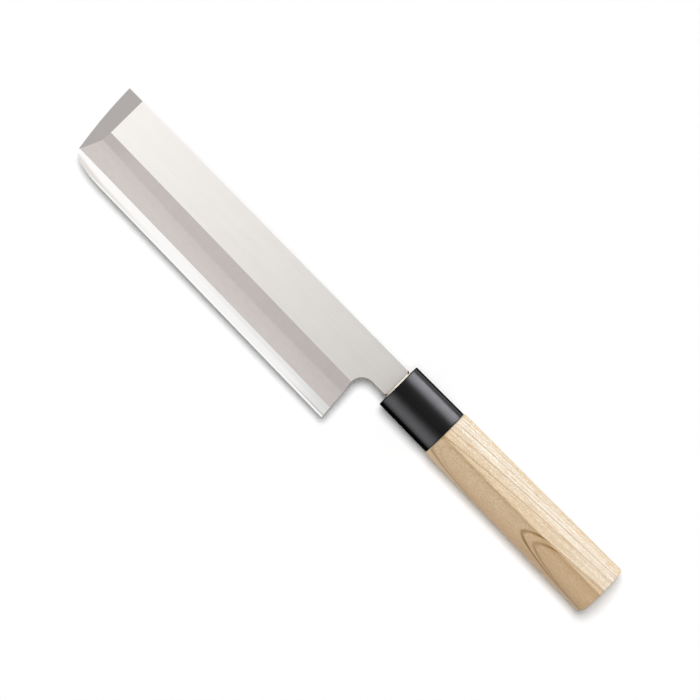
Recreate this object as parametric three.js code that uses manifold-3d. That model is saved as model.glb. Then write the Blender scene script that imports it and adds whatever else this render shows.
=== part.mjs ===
// A single-bevel vegetable knife with a square end, on a D-section wood handle.
// Millimetres. The knife lies on its back: +X runs to the tip, +Y to the cutting edge
// and +Z out of the bevelled face. Lengths are taken from the mouth of the ferrule,
// and heights from the axis of the handle.

import * as THREE from 'three';
import { mergeVertices } from 'three/addons/utils/BufferGeometryUtils.js';
import Module from 'manifold-3d';

const wasm = await Module();
wasm.setup();

// Blade outline
const BLADE_LENGTH = 180; // ferrule mouth to the end of the spine
const SPINE_OFFSET = 7.8; // handle axis to the spine
const HEEL_HEIGHT = 42.4; // spine to edge at the heel
const TIP_HEIGHT = 40.75; // spine to edge, carried on to the end of the spine
const HEEL_SETOFF = 14.05; // ferrule mouth to the corner of the heel
const HEEL_LEAN = THREE.MathUtils.degToRad(4.5);
const NECK_HEIGHT = 15.1;
const NECK_CHAMFER = 0.8;
const CHOIL_RADIUS = 6.3;
const END_LEAN = THREE.MathUtils.degToRad(5.5); // the square end leans back to the edge
const END_BOW = 0.65;
const TIP_ROUND = 20; // length of edge taken up by the rounded tip corner
const TIP_SLOPE = 0.9; // steepest honing round the tip corner

// Blade section
const BAR_THICKNESS = 2.6;
const HARD_LAYER = 1.3;
const HARD_SETBACK = 5; // soft steel left full thick in front of the machi
const STRIP_WIDTH = 5.8; // hard steel left bare along the edge
const LOWER_BAND = 9.7;
const UPPER_BAND = 5.35;
const UPPER_FALL = 0.11; // drop across the upper band of the bevel
const HONED_WIDTH = 0.8;
const HONED_HEIGHT = 0.3;
const EDGE_LAND = 0.04;
const END_BEVEL = 8.5; // length of the bevel at the square end
const END_LAND = 0.25;
const HOLLOW_DEPTH = 0.35;
const HOLLOW_RIM = 2.5;
const HOLLOW_RUNOUT = 14;

// Tang
const TANG_LENGTH = 96;
const TANG_END = 5;
const RESIN_WALL = 0.45;
const TENON_CHEEK = 1.8; // wood between the slot and the top of the tenon

// Handle
const HANDLE_LENGTH = 130; // ferrule mouth to butt
const FERRULE_LENGTH = 29.9;
const FERRULE_HEIGHT = 23.5;
const FERRULE_BACK = 9.3; // axis to the round back
const FERRULE_WALL = 4.4;
const FERRULE_FLARE = 0.25;
const FERRULE_EASE = 0.35;
const RIDGE_PROUD = 1.7; // ridge beyond the oval
const RIDGE_SHIFT = 1.35; // ridge to the edge side of the axis
const RIDGE_EASE = 0.4;
const FLANK_OPEN = THREE.MathUtils.degToRad(50); // where the flanks leave the oval, to each side
const RISE_LEAN = THREE.MathUtils.degToRad(12); // flank on the spine side, where it meets the ridge
const FALL_LEAN = THREE.MathUtils.degToRad(22); // flank on the edge side, where it meets the ridge
const TENON_PROUD = 0.8;
const WOOD_PROUD = 0.65; // wood beyond the ferrule
const WOOD_FLARE = 0.85;
const SHOULDER_CHAMFER = 0.6;
const BUTT_ROUND = 0.6;

// Fits
const FIT_GAP = 0.1; // between pieces that fit or seat on each other
const CUT_MARGIN = 5; // how far a cutting shape runs past what it cuts

// Fineness of the curves
const OVAL_STEPS = 56;
const FLANK_STEPS = 12;
const RIDGE_STEPS = 4;
const ROUND_STEPS = 6;
const CURVE_STEPS = 16;

// Levels and lines that follow from the sizes
const BACK_Z = -BAR_THICKNESS / 2;
const FACE_Z = BAR_THICKNESS / 2;
const LAYER_Z = BACK_Z + HARD_LAYER;
const SPINE_Y = -SPINE_OFFSET;
const NECK_Y = SPINE_Y + NECK_HEIGHT;
const MACHI_X = TENON_PROUD + FIT_GAP;
const EDGE_SLOPE = (TIP_HEIGHT - HEEL_HEIGHT) / (BLADE_LENGTH - HEEL_SETOFF);
const SHOULDER_X = -FERRULE_LENGTH - FIT_GAP;
const SLOT_GAP = RESIN_WALL + 2 * FIT_GAP;
const TANG_ROOT = FERRULE_HEIGHT - 2 * (FERRULE_WALL + FIT_GAP + TENON_CHEEK + SLOT_GAP);

/** Height of the cutting edge at a length along the knife. */
function edgeY(x) {
  return SPINE_Y + HEEL_HEIGHT + EDGE_SLOPE * (x - HEEL_SETOFF);
}

/** Turns a closed three.js geometry into a solid that can be joined and cut. */
function solidOf(geometry) {
  const bare = geometry.index ? geometry.toNonIndexed() : geometry.clone();
  bare.deleteAttribute('normal');
  bare.deleteAttribute('uv');
  const merged = mergeVertices(bare, 1e-5);
  return new wasm.Manifold(new wasm.Mesh({
    numProp: 3,
    vertProperties: new Float32Array(merged.attributes.position.array),
    triVerts: new Uint32Array(merged.index.array),
  }));
}

/** Turns a finished solid back into a three.js geometry. */
function geometryOf(solid) {
  const mesh = solid.getMesh();
  const geometry = new THREE.BufferGeometry();
  geometry.setAttribute('position', new THREE.BufferAttribute(mesh.vertProperties, 3));
  geometry.setIndex(new THREE.BufferAttribute(mesh.triVerts, 1));
  const faceted = geometry.toNonIndexed();
  faceted.computeVertexNormals();
  return faceted;
}

/** Skins a row of matching closed rings and closes both ends. */
function loft(rings) {
  const count = rings[0].length;
  const centres = [rings[0], rings[rings.length - 1]].map((ring) => {
    const sum = ring.reduce((total, point) => total.add(point), new THREE.Vector3());
    return sum.divideScalar(count);
  });
  const points = [...rings.flat(), ...centres];
  const firstCentre = points.length - 2;
  const lastCentre = points.length - 1;
  const lastRing = (rings.length - 1) * count;
  const index = [];
  for (let i = 0; i < count; i += 1) {
    const next = (i + 1) % count;
    for (let base = 0; base < lastRing; base += count) {
      index.push(base + i, base + next, base + count + i);
      index.push(base + next, base + count + next, base + count + i);
    }
    index.push(firstCentre, next, i);
    index.push(lastCentre, lastRing + i, lastRing + next);
  }
  const geometry = new THREE.BufferGeometry().setFromPoints(points);
  geometry.setIndex(index);
  return solidOf(geometry);
}

/** Extrudes a section drawn in height and depth (Y, Z) along the knife from x0 to x1. */
function extrudeLengthwise(shape, x0, x1) {
  const geometry = new THREE.ExtrudeGeometry(shape, { depth: x1 - x0, bevelEnabled: false });
  geometry.applyMatrix4(new THREE.Matrix4().makeBasis(
    new THREE.Vector3(0, 1, 0),
    new THREE.Vector3(0, 0, 1),
    new THREE.Vector3(1, 0, 0),
  ));
  geometry.translate(x0, 0, 0);
  return geometry;
}

/** A block between two opposite corners. */
function block(low, high) {
  const size = new THREE.Vector3().subVectors(high, low);
  const geometry = new THREE.BoxGeometry(size.x, size.y, size.z);
  geometry.translate(...new THREE.Vector3().addVectors(low, high).divideScalar(2).toArray());
  return solidOf(geometry);
}

/** The square end, which bows out a little and leaves off where the bare strip begins. */
function squareEnd() {
  const top = new THREE.Vector2(BLADE_LENGTH, SPINE_Y);
  const drop = TIP_HEIGHT - STRIP_WIDTH;
  const foot = new THREE.Vector2(BLADE_LENGTH - drop * Math.tan(END_LEAN), SPINE_Y + drop);
  const pull = new THREE.Vector2().addVectors(top, foot).divideScalar(2);
  pull.x += 2 * END_BOW;
  return new THREE.QuadraticBezierCurve(top, pull, foot);
}

/** The tip corner, which leaves the square end along its own line and runs out into the edge. */
function tipCorner() {
  const end = squareEnd();
  const run = new THREE.Vector2().subVectors(end.v2, end.v1);
  const reach = (edgeY(end.v2.x) - end.v2.y) / (run.y - EDGE_SLOPE * run.x);
  const corner = run.multiplyScalar(reach).add(end.v2);
  const out = corner.x - TIP_ROUND;
  return new THREE.QuadraticBezierCurve(end.v2, corner, new THREE.Vector2(out, edgeY(out)));
}

/** The outline of blade, neck and tang, seen on the bevelled face. */
function bladeOutline() {
  const outline = new THREE.Shape();
  outline.moveTo(MACHI_X, SPINE_Y + NECK_CHAMFER);
  outline.lineTo(MACHI_X + NECK_CHAMFER, SPINE_Y);
  outline.lineTo(BLADE_LENGTH, SPINE_Y);
  [squareEnd(), tipCorner()].forEach(({ v1, v2 }) => {
    outline.quadraticCurveTo(v1.x, v1.y, v2.x, v2.y);
  });
  outline.lineTo(HEEL_SETOFF, edgeY(HEEL_SETOFF));

  // The choil is tangent to the leaning heel and to the underside of the neck.
  const crown = HEEL_SETOFF + (edgeY(HEEL_SETOFF) - NECK_Y) * Math.tan(HEEL_LEAN);
  const halfTurn = (Math.PI / 2 - HEEL_LEAN) / 2;
  const tangent = CHOIL_RADIUS / Math.tan(halfTurn);
  outline.absarc(crown - tangent, NECK_Y + CHOIL_RADIUS, CHOIL_RADIUS, HEEL_LEAN, -Math.PI / 2, true);

  outline.lineTo(MACHI_X + NECK_CHAMFER, NECK_Y);
  outline.lineTo(MACHI_X, NECK_Y - NECK_CHAMFER);
  outline.lineTo(MACHI_X, TANG_ROOT / 2);
  outline.lineTo(-TANG_LENGTH, TANG_END / 2);
  outline.lineTo(-TANG_LENGTH, -TANG_END / 2);
  outline.lineTo(MACHI_X, -TANG_ROOT / 2);
  outline.closePath();
  return outline;
}

/** What the stone takes off above the bevel: three bands and the honed edge. */
function bevelWaste() {
  const edge = edgeY(0);
  const strip = edge - STRIP_WIDTH;
  const band = strip - LOWER_BAND;
  const ridge = band - UPPER_BAND;
  const top = FACE_Z + CUT_MARGIN;
  const clear = edge + CUT_MARGIN;
  const section = new THREE.Shape();
  section.moveTo(ridge, FACE_Z);
  section.lineTo(band, FACE_Z - UPPER_FALL);
  section.lineTo(strip, LAYER_Z);
  section.lineTo(edge - HONED_WIDTH, BACK_Z + HONED_HEIGHT);
  section.lineTo(edge, BACK_Z + EDGE_LAND);
  section.lineTo(clear, BACK_Z + EDGE_LAND);
  section.lineTo(clear, top);
  section.lineTo(ridge - (top - FACE_Z) * (UPPER_BAND / UPPER_FALL), top);
  section.closePath();
  const geometry = extrudeLengthwise(section, MACHI_X, BLADE_LENGTH + CUT_MARGIN);
  const lean = new THREE.Matrix4().makeShear(EDGE_SLOPE, 0, 0, 0, 0, 0);
  geometry.applyMatrix4(lean);
  return solidOf(geometry);
}

/** What the stone takes off above the bevelled square end. */
function endWaste() {
  const ridge = BLADE_LENGTH - END_BEVEL;
  const fall = (BAR_THICKNESS - END_LAND) / END_BEVEL;
  const clear = BLADE_LENGTH + CUT_MARGIN;
  const section = new THREE.Shape();
  section.moveTo(ridge, FACE_Z);
  section.lineTo(clear, FACE_Z - fall * (clear - ridge));
  section.lineTo(clear, FACE_Z + CUT_MARGIN);
  section.lineTo(ridge, FACE_Z + CUT_MARGIN);
  section.closePath();
  const geometry = new THREE.ExtrudeGeometry(section, {
    depth: HEEL_HEIGHT + 2 * CUT_MARGIN,
    bevelEnabled: false,
  });
  geometry.rotateX(Math.PI / 2);
  geometry.translate(0, SPINE_Y + HEEL_HEIGHT + CUT_MARGIN, 0);
  return solidOf(geometry);
}

/** What the stone takes off round the tip corner, steep at the square end and easing to the edge. */
function tipWaste() {
  const corner = tipCorner();
  const inset = TIP_ROUND / 4;
  const honed = (HONED_HEIGHT - EDGE_LAND) / HONED_WIDTH;
  const rings = [];
  for (let i = 0; i <= CURVE_STEPS; i += 1) {
    const along = i / CURVE_STEPS;
    const point = corner.getPoint(along);
    const tangent = corner.getTangent(along);
    const slope = THREE.MathUtils.lerp(TIP_SLOPE, honed, along);
    const foot = BACK_Z + THREE.MathUtils.lerp(HARD_LAYER, EDGE_LAND, along * (2 - along));
    const at = (out, z) => new THREE.Vector3(point.x + tangent.y * out, point.y - tangent.x * out, z);
    rings.push([
      at(-inset, foot + slope * inset),
      at(CUT_MARGIN, foot + slope * inset),
      at(CUT_MARGIN, foot - slope * CUT_MARGIN),
    ]);
  }
  return loft(rings);
}

/** The shallow hollow ground into the back, which runs out before both ends. */
function backHollow() {
  const middle = (SPINE_Y + edgeY(BLADE_LENGTH)) / 2;
  const half = (TIP_HEIGHT - 2 * HOLLOW_RIM) / 2;
  const spread = half + HOLLOW_RIM;
  const start = HEEL_SETOFF + CHOIL_RADIUS;
  const end = BLADE_LENGTH - END_BEVEL;
  const stations = [];
  for (let i = 0; i <= CURVE_STEPS; i += 1) {
    stations.push(start + HOLLOW_RUNOUT * (i / CURVE_STEPS));
  }
  for (let i = 0; i <= CURVE_STEPS; i += 1) {
    stations.push(end - HOLLOW_RUNOUT * (1 - i / CURVE_STEPS));
  }
  const rings = stations.map((x) => {
    const lift = Math.max(0, 1 - Math.min(x - start, end - x) / HOLLOW_RUNOUT);
    const ring = [];
    for (let i = 0; i <= CURVE_STEPS; i += 1) {
      const y = spread * (1 - 2 * (i / CURVE_STEPS));
      const rise = HOLLOW_DEPTH * (1 - (y / half) ** 2 - lift ** 2);
      ring.push(new THREE.Vector3(x, middle + y, BACK_Z + rise));
    }
    ring.push(new THREE.Vector3(x, middle - spread, BACK_Z - CUT_MARGIN));
    ring.push(new THREE.Vector3(x, middle + spread, BACK_Z - CUT_MARGIN));
    return ring;
  });
  return loft(rings);
}

/** One ring of the handle's D section: an oval whose crowned flanks meet in a ridge. */
function handleRing(x, grow) {
  const high = FERRULE_HEIGHT / 2 + grow;
  const deep = FERRULE_BACK + grow;
  const ridge = new THREE.Vector2(RIDGE_SHIFT, deep + RIDGE_PROUD);
  const aim = Math.atan2(ridge.y / deep, ridge.x / high);

  // A flank starts along the oval, bends evenly and stops just short of the ridge.
  const flank = (turn, lean) => {
    const foot = new THREE.Vector2(high * Math.cos(turn), deep * Math.sin(turn));
    const along = new THREE.Vector2(-high * Math.sin(turn), deep * Math.cos(turn));
    const down = new THREE.Vector2(Math.cos(lean), Math.sin(lean));
    const reach = foot.clone().sub(ridge).cross(along) / down.cross(along);
    const curve = new THREE.QuadraticBezierCurve(foot, down.multiplyScalar(reach).add(ridge), ridge);
    const stop = 1 - RIDGE_EASE / curve.getLength();
    return Array.from({ length: FLANK_STEPS }, (_, i) => curve.getPoint(stop * ((i + 1) / FLANK_STEPS)));
  };
  const rise = flank(aim + FLANK_OPEN, Math.PI + RISE_LEAN).reverse();
  const fall = flank(aim - FLANK_OPEN, -FALL_LEAN);
  const crest = new THREE.QuadraticBezierCurve(fall[FLANK_STEPS - 1], ridge, rise[0]);

  const section = [];
  for (let i = 0; i <= OVAL_STEPS; i += 1) {
    const turn = aim + FLANK_OPEN + 2 * (Math.PI - FLANK_OPEN) * (i / OVAL_STEPS);
    section.push(new THREE.Vector2(high * Math.cos(turn), deep * Math.sin(turn)));
  }
  section.push(...fall, ...crest.getPoints(RIDGE_STEPS).slice(1, -1), ...rise);
  return section.map((point) => new THREE.Vector3(x, point.x, point.y));
}

/** A tapered bar of rectangular section along the handle, grown all round by a clearance. */
function tangBar(grow, front, back) {
  const taper = (TANG_ROOT - TANG_END) / 2 / (TANG_LENGTH + MACHI_X);
  const deep = BAR_THICKNESS / 2 + grow;
  return loft([back, front].map((x) => {
    const high = TANG_END / 2 + taper * (x + TANG_LENGTH) + grow;
    return [[-high, -deep], [high, -deep], [high, deep], [-high, deep]]
      .map(([y, z]) => new THREE.Vector3(x, y, z));
  }));
}

/** The whole blade in its ground shape, before it is parted into its two steels. */
function groundBlade() {
  const plate = new THREE.ExtrudeGeometry(bladeOutline(), {
    depth: BAR_THICKNESS,
    bevelEnabled: false,
    curveSegments: CURVE_STEPS,
  });
  plate.translate(0, 0, BACK_Z);
  return solidOf(plate).subtract(bevelWaste()).subtract(endWaste()).subtract(tipWaste());
}

/** The space that the hard layer takes up on the back, from the neck to the tip. */
function hardLayerSpace() {
  const low = new THREE.Vector3(MACHI_X + HARD_SETBACK, SPINE_Y - CUT_MARGIN, BACK_Z - CUT_MARGIN);
  const high = new THREE.Vector3(BLADE_LENGTH + CUT_MARGIN, edgeY(0) + CUT_MARGIN, LAYER_Z);
  return block(low, high);
}

/** The wood: a flared D-section grip, a tenon through the ferrule and a slot for the tang. */
function woodSolid() {
  const tenonGrow = -FERRULE_WALL - FIT_GAP;
  const shoulderGrow = FERRULE_FLARE + WOOD_PROUD;
  const buttGrow = shoulderGrow + WOOD_FLARE;
  const rings = [];
  for (let i = 0; i <= ROUND_STEPS; i += 1) {
    const turn = (Math.PI / 2) * (i / ROUND_STEPS);
    const x = -HANDLE_LENGTH + BUTT_ROUND * (1 - Math.sin(turn));
    rings.push(handleRing(x, buttGrow - BUTT_ROUND * (1 - Math.cos(turn))));
  }
  rings.reverse();
  const grip = loft([
    ...rings,
    handleRing(SHOULDER_X - SHOULDER_CHAMFER, shoulderGrow),
    handleRing(SHOULDER_X, shoulderGrow - SHOULDER_CHAMFER),
  ]);
  const tenon = loft([
    handleRing(SHOULDER_X - CUT_MARGIN, tenonGrow),
    handleRing(TENON_PROUD - FERRULE_EASE, tenonGrow),
    handleRing(TENON_PROUD, tenonGrow - FERRULE_EASE),
  ]);
  const slot = tangBar(SLOT_GAP, TENON_PROUD + CUT_MARGIN, -TANG_LENGTH - SLOT_GAP);
  return grip.add(tenon).subtract(slot);
}

/** The sleeve round the tenon, which follows the handle's section. */
function ferruleSolid() {
  const sleeve = loft([
    handleRing(-FERRULE_LENGTH, FERRULE_FLARE - FERRULE_EASE),
    handleRing(FERRULE_EASE - FERRULE_LENGTH, FERRULE_FLARE),
    handleRing(-FERRULE_EASE, 0),
    handleRing(0, -FERRULE_EASE),
  ]);
  const bore = loft([
    handleRing(-FERRULE_LENGTH - CUT_MARGIN, -FERRULE_WALL),
    handleRing(CUT_MARGIN, -FERRULE_WALL),
  ]);
  return sleeve.subtract(bore);
}

/** The bedding that fills the slot round the tang. */
function resinSolid() {
  const fill = tangBar(SLOT_GAP - FIT_GAP, TENON_PROUD, -TANG_LENGTH - SLOT_GAP + FIT_GAP);
  return fill.subtract(tangBar(FIT_GAP, TENON_PROUD + CUT_MARGIN, -TANG_LENGTH - FIT_GAP));
}

/** A named piece with its own finish. */
function piece(name, solid, color, roughness, metalness) {
  const material = new THREE.MeshStandardMaterial({ color, roughness, metalness });
  const mesh = new THREE.Mesh(geometryOf(solid), material);
  mesh.name = name;
  return mesh;
}

const wholeBlade = groundBlade();
const layerSpace = hardLayerSpace();

const knife = new THREE.Group();
knife.add(
  piece('blade_body', wholeBlade.subtract(layerSpace), 0xe2dfda, 0.32, 1),
  piece('edge_steel', wholeBlade.intersect(layerSpace).subtract(backHollow()), 0xf0f0ee, 0.22, 1),
  piece('tang_resin', resinSolid(), 0x6b4630, 0.5, 0),
  piece('ferrule', ferruleSolid(), 0x18181a, 0.25, 0),
  piece('handle', woodSolid(), 0xddc093, 0.6, 0),
);

// The origin goes to the middle of the knife, on the level that it lies on.
const extent = new THREE.Box3().setFromObject(knife);
const centre = extent.getCenter(new THREE.Vector3());
knife.position.set(-centre.x, -centre.y, -extent.min.z);

const part = new THREE.Group();
part.add(knife);

export default part;
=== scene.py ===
"""Dresses a square-ended single-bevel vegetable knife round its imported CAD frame.

Sizes are millimetres in the knife's own axes: X runs from the ferrule's mouth to the tip, Y from
the handle's axis to the cutting edge, and Z out of the bevelled face. Meshes are in metres.
"""

from __future__ import annotations

import logging
import math
from collections.abc import Callable, Mapping, Sequence
from dataclasses import dataclass, field
from enum import Enum
from typing import Any

import bmesh
import bpy
from bmesh.types import BMEdge, BMesh, BMFace
from bpy.types import ID, Light, Material, Mesh, Node, NodeSocket, NodeTree, Object
from mathutils import Matrix, Vector

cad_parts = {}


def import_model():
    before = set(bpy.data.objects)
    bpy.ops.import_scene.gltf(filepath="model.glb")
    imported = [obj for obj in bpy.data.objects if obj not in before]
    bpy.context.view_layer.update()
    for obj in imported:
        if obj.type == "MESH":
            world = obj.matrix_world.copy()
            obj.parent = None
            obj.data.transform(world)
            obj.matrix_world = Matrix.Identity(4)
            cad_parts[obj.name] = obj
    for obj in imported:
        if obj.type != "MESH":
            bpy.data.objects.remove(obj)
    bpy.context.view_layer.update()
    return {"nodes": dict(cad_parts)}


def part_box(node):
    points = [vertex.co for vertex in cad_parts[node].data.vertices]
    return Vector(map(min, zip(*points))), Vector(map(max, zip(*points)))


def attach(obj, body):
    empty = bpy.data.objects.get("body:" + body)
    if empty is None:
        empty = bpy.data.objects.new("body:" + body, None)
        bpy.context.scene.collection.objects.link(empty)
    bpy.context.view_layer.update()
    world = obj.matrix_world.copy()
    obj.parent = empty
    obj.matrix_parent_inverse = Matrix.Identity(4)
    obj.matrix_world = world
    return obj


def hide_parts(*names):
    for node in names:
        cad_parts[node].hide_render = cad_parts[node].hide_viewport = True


MM = 0.001
BODY = "root"
MERGE = 0.0001

Colour = tuple[float, float, float]
Station = tuple[float, float, float]
WHITE: Colour = (1.0, 1.0, 1.0)
NOISE_MIDDLE = 0.5

log = logging.getLogger("knife")


def shade(red: int, green: int, blue: int) -> Colour:
    """Turns a screen colour into the linear colour that a shader takes, by the sRGB curve.

    Args:
        red: Red from 0 to 255.
        green: Green from 0 to 255.
        blue: Blue from 0 to 255.

    Returns:
        The linear red, green and blue.
    """
    parts = (channel / 255 for channel in (red, green, blue))
    linear = [c / 12.92 if c <= 0.04045 else ((c + 0.055) / 1.055) ** 2.4 for c in parts]
    return linear[0], linear[1], linear[2]


class Val:
    """A number in a node tree. Operators on it add Math nodes."""

    def __init__(self, bench: Bench, socket: NodeSocket) -> None:
        """Keeps the tree and the socket that gives the number."""
        self.bench = bench
        self.socket = socket

    def math(self, operation: str, *others: Val | float) -> Val:
        """Works on this number, with the others as further operands, in one Math node."""
        return self.bench.math(operation, self, *others)

    def __add__(self, other: Val | float) -> Val:
        """Adds."""
        return self.math("ADD", other)

    __radd__ = __add__

    def __sub__(self, other: Val | float) -> Val:
        """Subtracts."""
        return self.math("SUBTRACT", other)

    def __rsub__(self, other: Val | float) -> Val:
        """Is subtracted from a number."""
        return self.bench.math("SUBTRACT", other, self)

    def __mul__(self, other: Val | float) -> Val:
        """Multiplies."""
        return self.math("MULTIPLY", other)

    __rmul__ = __mul__

    def __truediv__(self, other: Val | float) -> Val:
        """Divides."""
        return self.math("DIVIDE", other)

    def __rtruediv__(self, other: Val | float) -> Val:
        """Divides a number."""
        return self.bench.math("DIVIDE", other, self)

    def __neg__(self) -> Val:
        """Turns the sign."""
        return self.math("MULTIPLY", -1.0)

    def __abs__(self) -> Val:
        """Drops the sign."""
        return self.math("ABSOLUTE")

    def __lt__(self, other: Val | float) -> Val:
        """Is 1 where this is the smaller."""
        return self.math("LESS_THAN", other)

    def __gt__(self, other: Val | float) -> Val:
        """Is 1 where this is the larger."""
        return self.math("GREATER_THAN", other)

    def clip(self) -> Val:
        """Holds the number between 0 and 1."""
        return self.math("MAXIMUM", 0.0).math("MINIMUM", 1.0)

    def ease(self, low: float, high: float) -> Val:
        """Rises smoothly from 0 at the low level to 1 at the high one."""
        sockets = {"Value": self, "From Min": low, "From Max": high}
        return self.bench.value("ShaderNodeMapRange", {"interpolation_type": "SMOOTHSTEP"}, sockets)


class Bench:
    """A node tree, with one way to add a node to it."""

    def __init__(self, tree: NodeTree) -> None:
        """Takes over an empty tree."""
        self.tree = tree

    def node(self, kind: str, settings: Mapping[str, Any] | None = None,
             sockets: Mapping[str | int, Any] | None = None) -> Node:
        """Adds a node.

        Args:
            kind: The node's type.
            settings: Its settings, which are set first.
            sockets: The values or links of its inputs, by name or place.

        Returns:
            The node.
        """
        node = self.tree.nodes.new(kind)
        for name, value in (settings or {}).items():
            setattr(node, name, value)
        for key, value in (sockets or {}).items():
            if isinstance(key, int):
                socket = node.inputs[key]
            else:
                socket = next(s for s in node.inputs if s.enabled and s.name == key)
            self.feed(socket, value)
        return node

    def feed(self, socket: NodeSocket, value: Any) -> None:
        """Links or sets one input.

        Args:
            socket: The input.
            value: A number from the tree, an output to link, or a plain value.
        """
        if isinstance(value, Val):
            value = value.socket
        if isinstance(value, NodeSocket):
            self.tree.links.new(value, socket)
        elif socket.type == "RGBA" and len(value) == 3:
            socket.default_value = (*value, 1.0)
        else:
            socket.default_value = value

    def value(self, kind: str, settings: Mapping[str, Any] | None = None,
              sockets: Mapping[str | int, Any] | None = None, output: str | int = 0) -> Val:
        """Adds a node as above and takes the number that one of its outputs gives."""
        return Val(self, self.node(kind, settings, sockets).outputs[output])

    def math(self, operation: str, *values: Val | float) -> Val:
        """Adds a Math node with an operation and its operands."""
        return self.value("ShaderNodeMath", {"operation": operation}, dict(enumerate(values)))

    def point(self, x: Val | float, y: Val | float, z: Val | float) -> NodeSocket:
        """Joins three numbers into a vector."""
        return self.node("ShaderNodeCombineXYZ", None, {0: x, 1: y, 2: z}).outputs[0]

    def split(self, vector: NodeSocket) -> tuple[Val, Val, Val]:
        """Takes a vector apart into three numbers."""
        outputs = self.node("ShaderNodeSeparateXYZ", None, {0: vector}).outputs
        return Val(self, outputs[0]), Val(self, outputs[1]), Val(self, outputs[2])


class Workshop(Bench):
    """The node tree of one material."""

    def __init__(self, name: str) -> None:
        """Starts a material whose tree has only its output.

        Args:
            name: The material's name.
        """
        self.material = bpy.data.materials.new(name)
        self.material.use_nodes = True
        super().__init__(self.material.node_tree)
        self.tree.nodes.clear()
        self.output = self.node("ShaderNodeOutputMaterial")

    def place(self, datum: Datum) -> tuple[Val, Val, Val]:
        """Gives the place on the piece in the knife's own axes.

        Args:
            datum: Where those axes are in the frame.

        Returns:
            X, Y and Z in millimetres.
        """
        coords = self.node("ShaderNodeTexCoord").outputs["Object"]
        scaled = self.node("ShaderNodeVectorMath", {"operation": "SCALE"}, {0: coords, "Scale": 1 / MM})
        x, y, z = self.split(scaled.outputs[0])
        start = datum.origin / MM
        return x - start.x, y - start.y, z - start.z

    def blend(self, share: Val | float, first: Any, second: Any) -> NodeSocket:
        """Mixes two colours, or outputs that give them, by the share of the second."""
        node = self.node("ShaderNodeMix", {"data_type": "RGBA"}, {"Factor": share, "A": first, "B": second})
        return next(s for s in node.outputs if s.enabled)

    def bump(self, height: Val, depth: float) -> NodeSocket:
        """Raises the surface in the shading. The depth is the millimetres of a height of 1."""
        sockets = {"Height": height, "Strength": 1.0, "Distance": depth * MM}
        return self.node("ShaderNodeBump", None, sockets).outputs[0]

    def finish(self, sockets: Mapping[str | int, Any]) -> Material:
        """Ends the tree in a Principled shader.

        Args:
            sockets: The values or links of its inputs.

        Returns:
            The material.
        """
        shader = self.node("ShaderNodeBsdfPrincipled", None, sockets)
        self.feed(self.output.inputs["Surface"], shader.outputs[0])
        return self.material


@dataclass(frozen=True)
class Datum:
    """Where the knife's own axes lie in the frame."""

    origin: Vector

    @classmethod
    def from_frame(cls) -> Datum:
        """Finds the ferrule's mouth, the handle's axis and the middle of the blade's thickness.

        Returns:
            The datum.
        """
        ferrule_low, ferrule_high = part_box("ferrule")
        blade_low, blade_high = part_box("blade_body")
        across = (ferrule_low.y + ferrule_high.y) / 2
        level = (blade_low.z + blade_high.z) / 2
        return cls(Vector((ferrule_high.x, across, level)))

    @property
    def matrix(self) -> Matrix:
        """Takes millimetres in the knife's axes to metres in the frame."""
        return Matrix.Translation(self.origin) @ Matrix.Scale(MM, 4)


@dataclass(frozen=True)
class Zone:
    """A stretch over which something comes in smoothly, and a later one over which it may go out."""

    low: float
    high: float
    share: float = 1.0
    out: tuple[float, float] | None = None

    def of(self, value: Val) -> Val:
        """Tells how much there is at a place or level: none before the zone, its share past it."""
        here = value.ease(self.low, self.high) * self.share
        return here * (1 - value.ease(*self.out)) if self.out else here


@dataclass(frozen=True)
class Figure:
    """Smooth noise that is stretched into a figure, with its cells to a millimetre along each axis."""

    cells: tuple[float, float, float]
    detail: float = 2.0
    rough: float = 0.5
    share: float = 1.0
    shift: float = 0.0

    def of(self, shop: Workshop, x: Val, y: Val, z: Val | float = 0.0) -> Val:
        """Draws the figure.

        Args:
            shop: The material's tree.
            x: The place along the first axis.
            y: The place along the second.
            z: The place along the third, where the figure changes along it.

        Returns:
            A number about 0, at most half the share to each side.
        """
        run, rise, deep = self.cells
        at = shop.point(x * run, y * rise, z * deep + self.shift)
        sockets = {"Vector": at, "Scale": 1.0, "Detail": self.detail, "Roughness": self.rough}
        return (shop.value("ShaderNodeTexNoise", None, sockets) - NOISE_MIDDLE) * self.share


class Grain(Enum):
    """The way that the marks of the last abrasive run."""

    ALONG = (0.02, 1.0, 1.0)
    ACROSS = (1.0, 0.02, 1.0)

    def cells(self, pitch: float) -> tuple[float, float, float]:
        """Gives the cells to a millimetre of marks with a pitch."""
        return self.value[0] / pitch, self.value[1] / pitch, self.value[2] / pitch


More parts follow.
